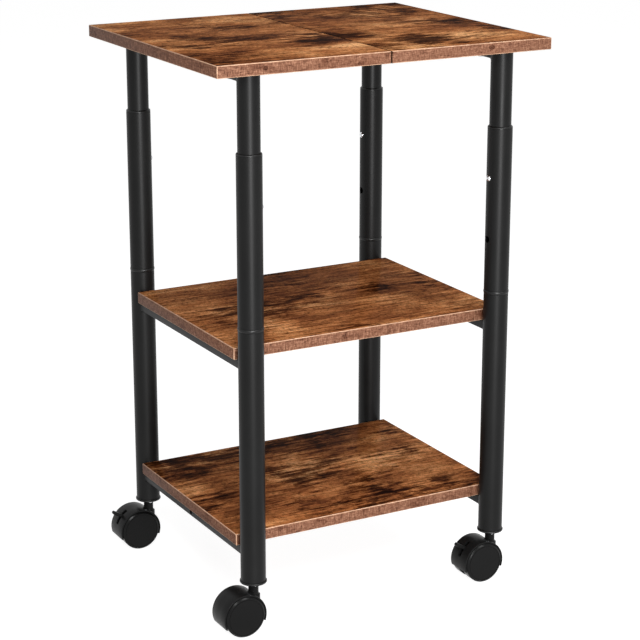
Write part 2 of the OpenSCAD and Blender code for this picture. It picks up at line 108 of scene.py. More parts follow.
def new_material(name, **sockets):
    """A material with one Principled shader; returns the material, its tree and the shader."""
    material = bpy.data.materials.new(name)
    material.use_nodes = True
    shader = material.node_tree.nodes["Principled BSDF"]
    for socket, value in sockets.items():
        shader.inputs[socket.replace("_", " ")].default_value = value
    return material, material.node_tree, shader


def ramp(tree, factor, *stops):
    """A colour ramp: each stop is a place and a colour, or a place and a grey."""
    node = add(tree, "ShaderNodeValToRGB", Fac=factor)
    elements = node.color_ramp.elements
    while len(elements) < len(stops):
        elements.new(0.5)
    for element, (place, colour) in zip(elements, stops):
        element.position = place
        element.color = (colour,) * 3 + (1,) if isinstance(colour, float) else (*colour, 1)
    return node.outputs["Color"]


def blend(tree, kind, factor, first, second):
    """A colour mixed by multiply, mix, overlay and so on."""
    node = add(tree, "ShaderNodeMix", {"data_type": "RGBA", "blend_type": kind})
    for socket, value in zip((0, 6, 7), (factor, first, second)):
        feed(tree, node.inputs[socket], value)
    return node.outputs[2]


def shade(tree, colour, strength, pattern, *stops):
    """A colour multiplied by a pattern's ramp."""
    return blend(tree, "MULTIPLY", strength, colour, ramp(tree, pattern, *stops))


def stretched(tree, scale, offset=(0, 0, 0)):
    """The piece's own coordinates in metres, stretched and moved."""
    place = add(tree, "ShaderNodeTexCoord").outputs["Object"]
    return add(tree, "ShaderNodeMapping", Vector=place, Scale=scale, Location=offset).outputs["Vector"]


def noise(tree, scale, offset=(0, 0, 0), detail=4.0, roughness=0.55, distortion=0.0):
    """A cloudy grey pattern."""
    return add(tree, "ShaderNodeTexNoise", Vector=stretched(tree, scale, offset), Scale=1.0,
               Detail=detail, Roughness=roughness, Distortion=distortion).outputs["Fac"]


def bump(tree, shader, height, strength, distance):
    """Relief that the light sees, from a pattern."""
    node = add(tree, "ShaderNodeBump", Strength=strength, Distance=distance, Height=height)
    tree.links.new(node.outputs["Normal"], shader.inputs["Normal"])


# %% [markdown]
# The boards are faced with a printed rustic wood: warm orange brown, with fat dark smudges whose
# edges fray along the grain, fine streaks along X, dark flecks, a few cracks and an occasional knot.
# A wave texture would give regular rings, which the print hasn't got, so each layer is a noise of
# its own scale, and darkens or lightens the one below it.


# %% Wood
def knots(tree, colour, seed, places):
    """Darkens a ringed oval round each place: a centre and half sizes along X, Y and Z."""
    warp = noise(tree, (60, 60, 60), (seed, 0, seed), detail=5, roughness=0.7)
    for centre, half_sizes in places:
        scale = tuple(1 / half for half in half_sizes)
        local = stretched(tree, scale, tuple(-c * k for c, k in zip(centre, scale)))
        away = add(tree, "ShaderNodeVectorMath", {"operation": "LENGTH"}, _0=local).outputs["Value"]
        away = add(tree, "ShaderNodeMath", {"operation": "MULTIPLY_ADD"},
                   _0=warp, _1=0.9, _2=away).outputs[0]
        colour = shade(tree, colour, 1.0, away, (0.45, (0.12, 0.09, 0.08)), (0.70, (0.60, 0.52, 0.48)),
                       (0.82, (0.26, 0.20, 0.18)), (1.0, (0.75, 0.70, 0.66)), (1.0, 1.0))
    return colour


def rustic_wood(name, seed, knot_places):
    """Printed wood with its grain along X. seed moves the pattern, so that no two boards match."""
    material, tree, shader = new_material(
        name, Roughness=0.45, Specular_IOR_Level=0.0, Coat_Weight=0.025, Coat_Roughness=0.14)
    here, there = (seed * 1.7, seed * 3.1, seed * 0.9), (seed * 2.3, seed * 1.1, seed * 1.9)

    cloud = noise(tree, (8, 13, 13), here, detail=4, roughness=0.6, distortion=0.4)
    frayed = noise(tree, (22, 150, 150), here, detail=9, roughness=0.75)
    colour = ramp(tree, blend(tree, "MIX", 0.42, cloud, frayed),
                  (0.38, (0.085, 0.025, 0.009)), (0.44, (0.190, 0.061, 0.020)),
                  (0.50, (0.330, 0.118, 0.039)), (0.56, (0.510, 0.212, 0.078)),
                  (0.65, (0.760, 0.390, 0.170)))

    blot = noise(tree, (8, 11, 11), there, detail=5, roughness=0.62, distortion=0.5)
    colour = shade(tree, colour, 1.0, blend(tree, "MIX", 0.40, blot, frayed),
                   (0.41, (0.11, 0.085, 0.075)), (0.45, (0.34, 0.28, 0.24)), (0.49, 1.0))

    streak = noise(tree, (12, 190, 190), there, detail=8, roughness=0.78, distortion=0.25)
    colour = shade(tree, colour, 0.9, streak, (0.38, 0.28), (0.47, 0.95), (0.62, 1.35))

    fleck = noise(tree, (210, 190, 190), there, detail=6, roughness=0.85)
    colour = shade(tree, colour, 0.85, fleck, (0.39, 0.22), (0.49, 1.0), (0.62, 1.4))

    line = noise(tree, (11, 62, 62), there, detail=4, roughness=0.6, distortion=0.5)
    where = ramp(tree, noise(tree, (9, 24, 24), there), (0.50, 0.0), (0.58, 0.9))
    colour = shade(tree, colour, where, line, (0.488, 1.0), (0.498, 0.15), (0.502, 0.15), (0.512, 1.0))

    tree.links.new(knots(tree, colour, seed, knot_places), shader.inputs["Base Color"])
    bump(tree, shader, fleck, 0.2, 0.0002)
    return material


def edge_band(name, seed, knot_places):
    """The paler, redder strip glued round a board's edges, with short fibres both ways."""
    material, tree, shader = new_material(name, Roughness=0.5, Specular_IOR_Level=0.08)
    fibre = noise(tree, (170, 170, 1100), (seed, 0, seed), detail=5, roughness=0.75)
    across = noise(tree, (900, 900, 160), (0, seed, seed), detail=4, roughness=0.7)
    colour = ramp(tree, blend(tree, "MIX", 0.5, fibre, across),
                  (0.39, (0.043, 0.014, 0.008)), (0.46, (0.143, 0.061, 0.035)),
                  (0.53, (0.213, 0.096, 0.057)), (0.61, (0.361, 0.192, 0.120)))
    blotch = noise(tree, (34, 34, 90), (0, seed, 1), detail=7, roughness=0.65)
    colour = shade(tree, colour, 0.9, blotch, (0.34, (0.50, 0.40, 0.36)), (0.48, 1.0))
    tree.links.new(knots(tree, colour, seed, knot_places), shader.inputs["Base Color"])
    bump(tree, shader, fibre, 0.15, 0.0002)
    return material


def painted_light_edge(name, roughness, shine, dark, light):
    """The narrow bevel along a board's edge, painted with a colour that stands in for its light or shade,
    which wavers between two colours.
    """
    material, tree, shader = new_material(name, Roughness=roughness, Specular_IOR_Level=shine)
    patchiness = noise(tree, (160, 160, 160), detail=3)
    tree.links.new(ramp(tree, patchiness, (0.35, dark), (0.65, light)), shader.inputs["Base Color"])
    return material


band = edge_band("edge_band", 2.0, [((-0.170, -0.191, 0.719), (0.007, 0.02, 0.006)),
                                    ((0.143, -0.191, 0.720), (0.008, 0.02, 0.005))])
# The band's bevel finish is a painted highlight: a pale colour that stands in for the light a bevel catches.
arris_highlight = painted_light_edge("band_arris_painted_highlight", 0.55, 0.1, (0.43, 0.24, 0.15), (0.66, 0.42, 0.28))
# The seam's bevel finish is painted shade: near black where the two tabletop boards meet, standing in for
# the shadow in the gap.
seam_painted_shade = painted_light_edge("seam_painted_shade", 0.6, 0.0, (0.004, 0.002, 0.0015), (0.014, 0.007, 0.004))
print("wood", band.name, arris_highlight.name, seam_painted_shade.name)

# %% [markdown]
# The steel tubes have a satin black powder coat: almost black, with a soft highlight and the fine
# orange-peel texture that baked powder leaves. The moulded nylon parts are as dark but smoother.


# %% Black finishes
def black_finish(name, grey, roughness, grain, depth, shine):
    """A black surface whose tone, gloss and relief vary a little."""
    material, tree, shader = new_material(name, Specular_IOR_Level=shine)
    cloud = noise(tree, (18, 18, 18), detail=3)
    tree.links.new(ramp(tree, cloud, (0.3, grey * 0.85), (0.7, grey * 1.15)), shader.inputs["Base Color"])
    tree.links.new(ramp(tree, cloud, (0.3, roughness * 0.93), (0.7, roughness * 1.07)),
                   shader.inputs["Roughness"])
    peel = noise(tree, (grain, grain, grain), detail=2)
    bump(tree, shader, peel, 0.3, depth)
    return material


powder_coat = black_finish("satin_powder_coat", 0.0050, 0.40, 900, 0.00006, 0.14)
glossy_nylon = black_finish("glossy_nylon", 0.0050, 0.36, 1400, 0.00003, 0.24)
moulded_nylon = black_finish("moulded_nylon", 0.0062, 0.34, 1400, 0.00004, 0.09)
smooth_nylon = black_finish("smooth_nylon", 0.0036, 0.22, 700, 0.00002, 0.12)
print("black finishes", powder_coat.name, glossy_nylon.name, moulded_nylon.name, smooth_nylon.name)

# %% [markdown]
# The small steel parts are plated: the screws, plates and spring strips are dull zinc, and the
# buttons, stems and axles are polished. Fine scratches in one direction break up the reflection.


# %% Steel
def steel(name, colour, roughness, brush):
    """Steel with fine scratches; brush is how finely they vary along X, Y and Z."""
    material, tree, shader = new_material(name, Metallic=1.0)
    scratch = noise(tree, brush, detail=3)
    tree.links.new(ramp(tree, scratch, (0.3, roughness * 0.8), (0.7, roughness * 1.25)),
                   shader.inputs["Roughness"])
    tint = [tuple(c * k for c in colour) for k in (0.9, 1.05)]
    tree.links.new(ramp(tree, scratch, (0.3, tint[0]), (0.7, tint[1])), shader.inputs["Base Color"])
    return material


zinc = steel("zinc_plate", (0.52, 0.53, 0.55), 0.42, (300, 300, 1500))
bright = steel("polished_steel", (0.72, 0.73, 0.75), 0.20, (900, 900, 200))
print("steel", zinc.name, bright.name)

# %% [markdown]
# Every CAD part gets its finish first, by the record's material slot. The parts that are modelled
# again further down replace theirs one by one.

# %% Finishes for the CAD parts
FINISHES = {
    "black_powder_coat": powder_coat, "black_plastic": moulded_nylon, "wheel_plastic": smooth_nylon,
    "zinc_steel": zinc, "bright_steel": bright,
}
WOODS = {  # each board's seed and its knots: a centre and half sizes
    "tabletop_left": (1.0, [((-0.150, -0.060, 0.726), (0.016, 0.010, 0.02))]),
    "tabletop_right": (2.3, [((0.075, 0.105, 0.726), (0.022, 0.015, 0.02))]),
    "middle_shelf": (4.1, [((0.150, -0.030, 0.370), (0.010, 0.006, 0.02)),
                           ((-0.060, 0.050, 0.370), (0.014, 0.008, 0.02))]),
    "bottom_shelf": (6.2, [((0.090, 0.060, 0.125), (0.014, 0.009, 0.02))]),
}
woods = {board: rustic_wood(f"rustic_wood_{board}", seed, places) for board, (seed, places) in WOODS.items()}
for part in frame["record"]["subparts"]:
    finish = woods.get(part["node"]) or FINISHES[part["material_slot"]]
    for slot in nodes[part["node"]].material_slots:
        slot.material = finish

# %% [markdown]
# # Modelling helpers
# Every piece starts as a primitive and is shaped in edit mode. An operator acts on all that is
# selected, so each step begins by selecting one object, or the faces that it needs, by their place.
# A modifier is applied at once, so that each mesh is what is seen.


# %% Selection helpers
MERGE = 2e-6


def select_only(piece):
    """Makes this the only selected piece, and the active one."""
    bpy.ops.object.select_all(action="DESELECT")
    piece.select_set(True)
    bpy.context.view_layer.objects.active = piece


def settle(piece, place=(0, 0, 0), turn=None):
    """Turns and moves a piece, and puts that into its mesh, so that its origin stays at zero."""
    select_only(piece)
    piece.location = piece.location + Vector(place)
    if turn:
        piece.rotation_euler = turn
    bpy.ops.object.transform_apply(location=True, rotation=True, scale=True)
    return piece


def name_new(name):
    """Names the primitive that was just added, and puts its place and size into its mesh."""
    piece = bpy.context.object
    piece.name = piece.data.name = name
    return settle(piece)


def cube(name, middle, size):
    """A box by its middle and its size along X, Y and Z."""
    bpy.ops.mesh.primitive_cube_add(size=1, location=middle, scale=size)
    return name_new(name)


def rod(name, middle, radius, length, turn=(0, 0, 0), sides=48):
    """A cylinder that stands along Z unless it is turned."""
    bpy.ops.mesh.primitive_cylinder_add(vertices=sides, radius=radius, depth=length, location=middle,
                                        rotation=turn)
    return name_new(name)


def edit(piece, mode="VERT", action="DESELECT"):
    """Opens a piece in edit mode with nothing selected, or all of it."""
    select_only(piece)
    bpy.ops.object.mode_set(mode="EDIT")
    bpy.ops.mesh.select_mode(type=mode)
    bpy.ops.mesh.select_all(action=action)


def pick(piece, kind, choose):
    """Selects the edges or faces that a test chooses, by place."""
    bpy.ops.object.mode_set(mode="OBJECT")
    for item in getattr(piece.data, kind):
        item.select = bool(choose(item))
    bpy.ops.object.mode_set(mode="EDIT")


def pick_edges(piece, choose):
    """Selects the edges that a test of their two ends' places chooses."""
    pick(piece, "edges", lambda edge: choose(*(piece.data.vertices[i].co for i in edge.vertices)))


def pull(x, y, z):
    """Extrudes what is selected by a step."""
    bpy.ops.mesh.extrude_region_move(TRANSFORM_OT_translate={"value": (x, y, z)})


def fill_openings():
    """Puts a face across each open ring of the piece in edit mode."""
    bpy.ops.mesh.select_mode(type="EDGE")
    bpy.ops.mesh.select_all(action="DESELECT")
    bpy.ops.mesh.select_non_manifold()
    bpy.ops.mesh.edge_face_add()


def close_edit():
    """Merges doubles, points all faces outwards and leaves edit mode."""
    bpy.ops.mesh.select_mode(type="VERT")
    bpy.ops.mesh.select_all(action="SELECT")
    bpy.ops.mesh.remove_doubles(threshold=MERGE)
    bpy.ops.mesh.normals_make_consistent(inside=False)
    bpy.ops.object.mode_set(mode="OBJECT")


def clean(piece):
    """Merges the doubles that a boolean can leave."""
    edit(piece)
    close_edit()


def open_edges(piece):
    """How many edges don't join exactly two faces; a closed piece has none."""
    uses = [0] * len(piece.data.edges)
    for loop in piece.data.loops:
        uses[loop.edge_index] += 1
    return sum(use != 2 for use in uses)


def smooth(piece, angle=35):
    """Shades a piece smooth, but for the edges that are sharper than an angle."""
    select_only(piece)
    bpy.ops.object.shade_smooth_by_angle(angle=radians(angle))
    return piece


def copy_of(piece, name, move=(0, 0, 0)):
    """A copy with its own mesh, moved to its place."""
    twin = piece.copy()
    twin.data = piece.data.copy()
    twin.name = twin.data.name = name
    bpy.context.collection.objects.link(twin)
    return settle(twin, move)


def boolean(piece, tool, operation="DIFFERENCE"):
    """Cuts a tool out of a piece, or joins it on, and deletes the tool."""
    select_only(piece)
    modifier = piece.modifiers.new("boolean", "BOOLEAN")
    modifier.operation, modifier.solver, modifier.object = operation, "EXACT", tool
    bpy.ops.object.modifier_apply(modifier=modifier.name)
    bpy.data.objects.remove(tool)


def soften(piece, width, segments, angle):
    """Rounds every edge that is sharper than an angle."""
    select_only(piece)
    modifier = piece.modifiers.new("soften", "BEVEL")
    modifier.width, modifier.segments, modifier.limit_method = width, segments, "ANGLE"
    modifier.angle_limit = radians(angle)
    bpy.ops.object.modifier_apply(modifier=modifier.name)


print("helpers ready")

# %% [markdown]
# The record says which body each CAD part moves with and which finish it has. A piece that stands
# for a CAD part takes its body from there, so the two models can't drift apart, and its finish is given with
# it.

# %% What each piece stands for
record = frame["record"]
body_of = {node: body for body, names in record["behaviour"]["bodies"].items() for node in names}


def stands_for(piece, node, finish=None):
    """Gives a piece its finish, and puts it in a CAD part's place and on its body."""
    if finish:
        piece.data.materials.clear()
        piece.data.materials.append(finish)
    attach(piece, body_of[node])
    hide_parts(node)
    return piece


def sizes(node):
    """A CAD part's lowest corner, highest corner, middle and size."""
    low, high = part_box(node)
    return low, high, (low + high) / 2, high - low


CORNERS = ("front_left", "front_right", "back_left", "back_right")
BRAKED = ("front_right", "back_left")
leg_place = {corner: sizes(f"lower_leg_{corner}")[2].xy.to_3d() for corner in CORNERS}
print("legs", {corner: [round(v, 4) for v in place.xy] for corner, place in leg_place.items()})

# %% [markdown]
# # The boards
# The tabletop is two boards and each shelf is one. A board is a cube, bevelled along every edge,
# because an edge band is trimmed flush and its corner broken by a fraction of a millimetre. The pale
# line round each board is a highlight painted into that bevel's colour, and the bevel where the two
# tabletop boards meet is painted near black as the shade in the gap. A bevel in edit mode gives the
# new faces that can then take a finish of their own, which a bevel modifier left live would not.

# %% Boards
BAND_ROUNDING = 0.0009
FLAT = 0.999
WOOD_FACE, BAND_FACE, ARRIS_FACE, SEAM_FACE = range(4)


def board_finish(board, face):
    """Which of a board's four finishes a face gets."""
    if abs(face.normal.z) > FLAT:
        return WOOD_FACE
    if max(abs(v) for v in face.normal) > FLAT:
        return BAND_FACE
    # Bevels at the tabletop's seam take the painted shade, and every other bevel takes the painted
    # highlight.
    from_seam = max(abs(board.data.vertices[i].co.x) for i in face.vertices)
    return SEAM_FACE if from_seam < 2 * BAND_ROUNDING else ARRIS_FACE


def model_board(node):
    """A bevelled board with wood above and below, bands round it, and arrises between them, painted pale as
    a highlight, and near black as shade at the seam.
    """
    _, _, middle, size = sizes(node)
    board = cube(f"board_{node}", middle, size)
    edit(board, action="SELECT")
    bpy.ops.mesh.bevel(offset=BAND_ROUNDING, segments=3, affect="EDGES")
    close_edit()
    for finish in (woods[node], band, arris_highlight, seam_painted_shade):
        board.data.materials.append(finish)
    for face in board.data.polygons:
        face.material_index = board_finish(board, face)
    smooth(board, 50)
    return stands_for(board, node)


boards = [model_board(node) for node in WOODS]
print("boards", [board.name for board in boards], "open edges", [open_edges(board) for board in boards])

# %% [markdown]
# # Turned pieces
# Tubes, collars, plugs, stems, buttons, screws and wheels are all round. A lathe could be a screw
# modifier on a drawn curve, but a ring that is pulled along its outline shows every step: extrude
# it, move it to the next height, and resize it to the next radius. A hollow piece's outline comes
# back to its start, and a solid one's two end rings are filled.


# %% Turned pieces
EASE = 0.0003  # how far a sharp edge is broken
PLAY = 0.00005  # the room in a close fit


def arc(radius, height, rounding, start, end, steps=5):
    """Outline points round a corner; 0 degrees points outwards and 90 points up."""
    angles = [radians(start + (end - start) * i / steps) for i in range(steps + 1)]
    return [(radius + rounding * cos(a), height + rounding * sin(a)) for a in angles]


def turned(name, outline, segments=64, hollow=False):
    """A piece turned about Z at the origin, from outline points of a radius and a height."""
    radius, height = outline[0]
    bpy.ops.mesh.primitive_circle_add(vertices=segments, radius=radius, location=(0, 0, height))
    piece = name_new(name)
    edit(piece, action="SELECT")
    for next_radius, next_height in outline[1:] + (outline[:1] if hollow else []):
        pull(0, 0, next_height - height)
        grow = next_radius / radius
        bpy.ops.transform.resize(value=(grow, grow, 1), center_override=(0, 0, 0))
        radius, height = next_radius, next_height
    if not hollow:
        bpy.ops.mesh.edge_face_add()
        fill_openings()
    close_edit()
    return smooth(piece)


def tube(name, outer, inner, low, high, edge=0.0004):
    """A tube whose cut ends are lightly broken."""
    outline = [(outer - edge, low), (outer, low + edge), (outer, high - edge), (outer - edge, high),
               (inner + edge, high), (inner, high - edge), (inner, low + edge), (inner + edge, low)]
    return turned(name, outline, hollow=True)


def drill(piece, place, direction, radius, depth):
    """A round hole from a place inwards, along a direction."""
    middle = Vector(place) + Vector(direction) * depth / 2
    turn = Vector(direction).to_track_quat("Z", "Y").to_euler()
    boolean(piece, rod("drill", middle, radius, depth, turn))


print("turning ready")

# %% [markdown]
# # The legs
# Each leg is three tubes: a lower one, a sleeve above it, and an inner tube that slides in the
# sleeve and carries the top. Each is one turned ring. The sleeve gets its two button holes, and the
# inner tube its one, by booleans with a cylinder, which leave the true curved rim that a painted
# dot would not.

# %% Leg tubes
WALL = 0.0012
FLANGE = 0.001
HOLE_PLAY, HOLE_PITCH = 0.0005, 0.080
LEG_TUBES = {  # how far below the button each hole is, and the hole's play
    "lower_leg": ((), 0), "upper_leg": ((0, HOLE_PITCH), HOLE_PLAY), "inner_leg": ((0,), 0),
}
button_size = sizes("snap_button_front_left")[3]
button_radius = button_size.y / 2 - FLANGE

for corner in CORNERS:
    inwards = Vector((copysign(1, -leg_place[corner].x), 0, 0))
    button_height = sizes(f"snap_button_{corner}")[2].z
    for part, (drops, play) in LEG_TUBES.items():
        node = f"{part}_{corner}"
        low, high, _, size = sizes(node)
        radius = size.x / 2
        leg = tube(f"tube_{node}", radius, radius - WALL, low.z, high.z)
        settle(leg, leg_place[corner])
        for drop in drops:
            start = leg_place[corner] + inwards * radius / 2 + Vector((0, 0, button_height - drop))
            drill(leg, start, inwards, button_radius + play, radius)
        smooth(leg)
        stands_for(leg, node, powder_coat)
print("leg tubes up to", leg.name, "open edges", open_edges(leg))

# %% [markdown]
# The moulded rings close the tubes' ends: a collar with a bush guides the inner tube, a coupler
# joins sleeve and lower tube, and a plug holds the castor's stem. The collar's top is a generous
# round shoulder, the coupler's ring is a slim bead, and the plug's flange has a soft edge, so each
# outline has its own arcs. Only a turned outline gets these right from every side.

# %% Leg fittings
bush_low, bush_high, _, _ = sizes("leg_bushes")
ring_low, ring_high, _, ring_size = sizes("leg_couplers")
plug_low, plug_high, _, plug_size = sizes("castor_sockets")
sleeve_low, sleeve_high, _, sleeve_size = sizes("upper_leg_front_left")
lower_low, lower_high, _, _ = sizes("lower_leg_front_left")
sleeve_radius = sleeve_size.x / 2
inner_radius = sizes("inner_leg_front_left")[3].x / 2
leg_bore = sleeve_radius - WALL
leg_spacing = leg_place["front_right"].x - leg_place["front_left"].x
ring_radius = (ring_size.x - leg_spacing) / 2
plug_radius = (plug_size.x - leg_spacing) / 2
STEM_RADIUS = 0.004

SHOULDER = 0.0019
bush_bore = inner_radius + PLAY
collar = turned("collar", [
    (leg_bore, bush_low.z), (leg_bore, sleeve_high.z), (sleeve_radius, sleeve_high.z),
    *arc(sleeve_radius - SHOULDER, bush_high.z - SHOULDER, SHOULDER, 0, 90, 7),
    (bush_bore + EASE, bush_high.z), (bush_bore, bush_high.z - EASE), (bush_bore, bush_low.z),
], hollow=True)

RING_SEAT = 0.0002
COUPLER_WALL = 0.0015
seat_radius = sleeve_radius - RING_SEAT
ring_middle = (lower_high.z + sleeve_low.z) / 2
ring_bead = (sleeve_low.z - lower_high.z) / 2 - RING_SEAT
coupler_bore = leg_bore - COUPLER_WALL
bead_outline = [(seat_radius + (ring_radius - seat_radius) * cos(a), ring_middle + ring_bead * sin(a))
                for a in (radians(-90 + 180 * i / 10) for i in range(11))]
coupler = turned("coupler", [
    (leg_bore, ring_low.z), (leg_bore, lower_high.z), (seat_radius, lower_high.z), *bead_outline,
    (seat_radius, sleeve_low.z), (leg_bore, sleeve_low.z), (leg_bore, ring_high.z),
    (coupler_bore, ring_high.z), (coupler_bore, ring_low.z),
], hollow=True)

LIP, PLUG_LEAD = 0.0011, 0.001
socket_bore = STEM_RADIUS + PLAY
plug = turned("plug", [
    (socket_bore, plug_low.z), *arc(plug_radius - LIP, plug_low.z + LIP, LIP, -90, 0),
    *arc(plug_radius - LIP, lower_low.z - LIP, LIP, 0, 90),
    (leg_bore, lower_low.z), (leg_bore, plug_high.z - PLUG_LEAD), (leg_bore - PLUG_LEAD, plug_high.z),
    (socket_bore, plug_high.z),
], hollow=True)

for master, node in ((collar, "leg_bushes"), (coupler, "leg_couplers"), (plug, "castor_sockets")):
    print(master.name, "open edges", open_edges(master))
    for corner in CORNERS:
        fitting = copy_of(master, f"{master.name}_{corner}", leg_place[corner])
        stands_for(fitting, node, glossy_nylon)
    bpy.data.objects.remove(master)

# %% [markdown]
# # Snap buttons
# Each button is a short steel pin with a domed head and a flange behind it, turned upright and
# then laid on its side, so that it points to the middle of the table.

# %% Snap buttons
BUTTON_RISE, DOME_STEP = 0.0026, 0.0001
FLANGE_THICKNESS, FLANGE_BEVEL = 0.0007, 0.0002
dome_radius = (button_radius ** 2 + BUTTON_RISE ** 2) / (2 * BUTTON_RISE)
dome_edge = degrees(atan2(dome_radius - BUTTON_RISE, button_radius))
flange_radius = button_radius + FLANGE
for corner in CORNERS:
    middle = sizes(f"snap_button_{corner}")[2]
    button = turned(f"button_{corner}", [
        (flange_radius, 0), (flange_radius, FLANGE_THICKNESS - FLANGE_BEVEL),
        (flange_radius - FLANGE_BEVEL, FLANGE_THICKNESS), (button_radius, FLANGE_THICKNESS),
        (button_radius, button_size.x - BUTTON_RISE - DOME_STEP),
        *arc(0, button_size.x - dome_radius, dome_radius, dome_edge, 89, 8),
    ], segments=40)
    way = copysign(1, -middle.x)
    settle(button, middle - Vector((way * button_size.x / 2, 0, 0)), (0, way * pi / 2, 0))
    stands_for(smooth(button), f"snap_button_{corner}", bright)
print("buttons at", round(middle.z, 4), "open edges", open_edges(button))

# %% [markdown]
# # Crossbars
# A crossbar is a rectangular steel tube, coped to fit round both legs and welded there. A cube
# gets the tube's rounded corners by a bevel of its four long edges, its bore by an inset of the two
# ends and a bridge between them, and its copes by booleans with the legs' cylinders.
#
# The weld comes first. It is a concave bead that follows the saddle-shaped joint. No primitive has
# that form, so a grid is bent onto it: one way it runs along the joint, and the other way round
# the bead's section.

# %% Weld beads
CAD_BEAD = 0.002
BEAD_BELOW, BEAD_BESIDE = 0.0042, 0.0018
BEAD_ROOT = 0.0004  # how far a bead's hidden corner reaches into the bar and the leg
BAR_CORNER = 0.0012
SECTION_STEPS = 6


def joint_path(half_width, low, high, steps=5):
    """Points down one side of a bar, along its lower face and up the other, with outward normals."""
    corner = [radians(180 + 90 * i / steps) for i in range(steps + 1)]
    x, z = half_width - BAR_CORNER, low + BAR_CORNER
    left = [(-half_width, high + (z - high) * i / steps, -1, 0) for i in range(steps)]
    bend = [(-x + BAR_CORNER * cos(a), z + BAR_CORNER * sin(a), cos(a), sin(a)) for a in corner]
    half = left + bend
    return half + [(0, low, 0, -1)] + [(-px, pz, -nx, nz) for px, pz, nx, nz in reversed(half)]


def weld_bead(name, leg_middle, leg_radius, way, path):
    """A closed bead between a leg and a bar that leaves it towards way, +1 or -1 along Y."""
    rows = SECTION_STEPS + 2
    bpy.ops.mesh.primitive_grid_add(x_subdivisions=rows, y_subdivisions=len(path) - 1, size=1)
    bead = name_new(name)
    for index, vertex in enumerate(bead.data.vertices):
        station, step = divmod(index, rows + 1)
        x, z, nx, nz = path[station]
        size = BEAD_BESIDE + (BEAD_BELOW - BEAD_BESIDE) * abs(min(nz, 0)) ** 2
        turn = radians(90 * step / SECTION_STEPS)
        aside, along = size * (1 - cos(turn)), size * (1 - sin(turn))
        if step > SECTION_STEPS:
            aside = along = -BEAD_ROOT
        if step == rows:
            aside, along = 0, size
        x, z = x + nx * aside, z + nz * aside
        reach = max(leg_radius ** 2 - x ** 2, 0) ** 0.5
        vertex.co = (leg_middle.x + x, leg_middle.y + way * (reach + along), z)
    edit(bead, action="SELECT")
    bpy.ops.mesh.remove_doubles(threshold=MERGE)
    fill_openings()
    close_edit()
    return smooth(bead, 50)


print("joint path", len(joint_path(0.010, 0, 0.012)), "stations")

# %% [markdown]
# Now the bars, two under the top and two under each shelf, which run from front to back. The cube is
# as long as the legs stand apart, and each leg's cylinder then takes its own end off. The left
# bottom bar has a small round hole in its outer side, which the photograph shows. Such a hole lets
# the air out while a bar is welded.

# %% Crossbars
BAR_WALL = 0.0012
COPE_LENGTH = 0.03
VENT_RADIUS, VENT_START = 0.0035, 0.001


def model_crossbar(level, side, leg_radius):
    """A hollow bar between a front and a back leg, and its two weld beads."""
    node = f"{level}_crossbar_{side}"
    low, high, middle, size = sizes(node)
    half_width = size.x / 2 - CAD_BEAD
    bottom = low.z + CAD_BEAD
    length = leg_place["back_left"].y - leg_place["front_left"].y
    bar_middle = Vector((middle.x, 0, (bottom + high.z) / 2))
    bar = cube(f"bar_{node}", bar_middle, (2 * half_width, length, high.z - bottom))
    edit(bar, "EDGE")
    pick_edges(bar, lambda a, b: abs(a.y - b.y) > length / 2)
    bpy.ops.mesh.bevel(offset=BAR_CORNER, segments=4, affect="EDGES")
    bpy.ops.mesh.select_mode(type="FACE")
    pick(bar, "polygons", lambda face: abs(face.normal.y) > 0.9)
    bpy.ops.mesh.inset(thickness=BAR_WALL)
    bpy.ops.mesh.bridge_edge_loops()
    close_edit()
    path = joint_path(half_width, bottom, high.z)
    beads = []
    for end, way in (("front", 1), ("back", -1)):
        leg_middle = leg_place[f"{end}_{side}"]
        cope_middle = leg_middle + Vector((0, 0, bar_middle.z))
        boolean(bar, rod("cope", cope_middle, leg_radius, COPE_LENGTH, sides=64))
        beads.append(weld_bead(f"weld_{node}_{end}", leg_middle, leg_radius, way, path))
    if node == "bottom_crossbar_left":
        outside = bar_middle - Vector((size.x / 2 + VENT_START, 0, 0))
        drill(bar, outside, (1, 0, 0), VENT_RADIUS, size.x / 2)
    smooth(bar)
    for piece in (bar, *beads):
        stands_for(piece, node, powder_coat)
    return bar, beads


for side in ("left", "right"):
    for level, radius in (("top", inner_radius), ("middle", sleeve_radius), ("bottom", sleeve_radius)):
        bar, beads = model_crossbar(level, side, radius)
print("crossbar open edges", open_edges(bar), "bead open edges", [open_edges(bead) for bead in beads])

# %% [markdown]
# # Screws
# The bars and plates hold pan-head screws with a cross recess. The head is turned with its round
# shoulder, and the recess is cut by two tapered bars, each a cube whose inner end is resized. One
# screw is modelled, head down as it sits under the boards, and copied to each place.

# %% Screws
HEAD_RADIUS, HEAD_HEIGHT, HEAD_ROUND = 0.00475, 0.003, 0.0019
SHANK_RADIUS = 0.002
POINT_RADIUS, POINT_LENGTH = 0.0003, 0.003
CROSS_WIDTH, CROSS_REACH, CROSS_DEPTH = 0.0011, 0.0054, 0.0019
CROSS_TAPER = (0.35, 0.8, 1)


def model_screw(name, length):
    """A pan-head screw that points up from Z = 0, its head below."""
    shoulder = arc(HEAD_RADIUS - HEAD_ROUND, HEAD_ROUND - HEAD_HEIGHT, HEAD_ROUND, -88, 0, 6)
    screw = turned(name, [*shoulder, (HEAD_RADIUS, 0), (SHANK_RADIUS, 0),
                          (SHANK_RADIUS, length - POINT_LENGTH), (POINT_RADIUS, length)], segments=32)
    for turn in (0, pi / 2):
        cross = cube("cross", (0, 0, -HEAD_HEIGHT), (CROSS_REACH, CROSS_WIDTH, 2 * CROSS_DEPTH))
        edit(cross, "FACE")
        pick(cross, "polygons", lambda face: face.normal.z > 0.9)
        bpy.ops.transform.resize(value=CROSS_TAPER, center_override=(0, 0, 0))
        close_edit()
        settle(cross, turn=(0, 0, turn))
        boolean(screw, cross)
    return smooth(screw)


